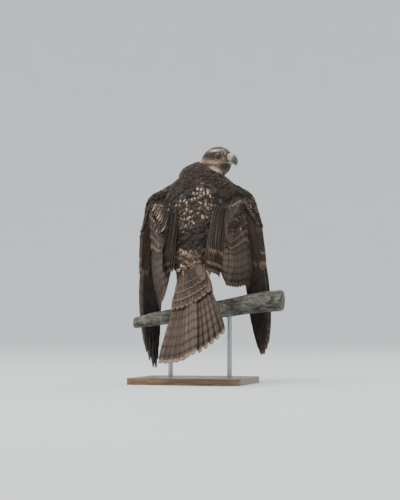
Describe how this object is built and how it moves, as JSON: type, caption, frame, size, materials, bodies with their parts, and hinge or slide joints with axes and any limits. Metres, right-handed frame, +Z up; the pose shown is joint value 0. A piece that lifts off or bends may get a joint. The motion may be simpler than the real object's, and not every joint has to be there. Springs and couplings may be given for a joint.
{
  "type": "red-tailed hawk",
  "caption": "Life-size red-tailed hawk in first-year plumage on a short cut branch, wings half open and drooping, tail spread, head turned to its right; flat display base with two rods",
  "frame": {"origin": "on the floor under the middle of the bounding box", "axes": "+Z up, the bird's body heads along +Y, the branch runs along X with its thick end at +X; the picture looks from behind, between -Y and +X"},
  "size_m": [0.341, 0.3054, 0.5298],
  "materials": {
    "crown": "matte feathers, streaked brown and buff",
    "mantle": "matte feathers, dark brown with buff blotches",
    "wing": "satin feathers, dark brown, barred",
    "tail": "satin feathers, brown with narrow dark bars",
    "leg": "soft matte feathers, buff",
    "cere": "satin skin, yellow green",
    "bill": "polished horn, dark",
    "eye": "wet gloss, dark brown",
    "toe": "scaly skin, dull yellow",
    "claw": "polished horn, black",
    "bark": "rough bark with grey green lichen",
    "plinth": "satin, dark stained",
    "steel": "brushed"
  },
  "bodies": {
    "root": {"head": "crown", "neck": "mantle", "torso": "mantle", "wing_left": "wing", "wing_right": "wing", "tail": "tail", "thigh_left": "leg", "thigh_right": "leg", "cere": "cere", "bill_upper": "bill", "bill_lower": "bill", "eye_left": "eye", "eye_right": "eye", "shank_left": "toe", "shank_right": "toe", "foot_left": "toe", "foot_right": "toe", "perch_branch": "bark", "stand_base": "plinth", "stand_rod_1": "steel", "stand_rod_2": "steel", "claw_left_inner": "claw", "claw_left_middle": "claw", "claw_left_outer": "claw", "claw_left_hind": "claw", "claw_right_inner": "claw", "claw_right_middle": "claw", "claw_right_outer": "claw", "claw_right_hind": "claw"}
  },
  "joints": []
}
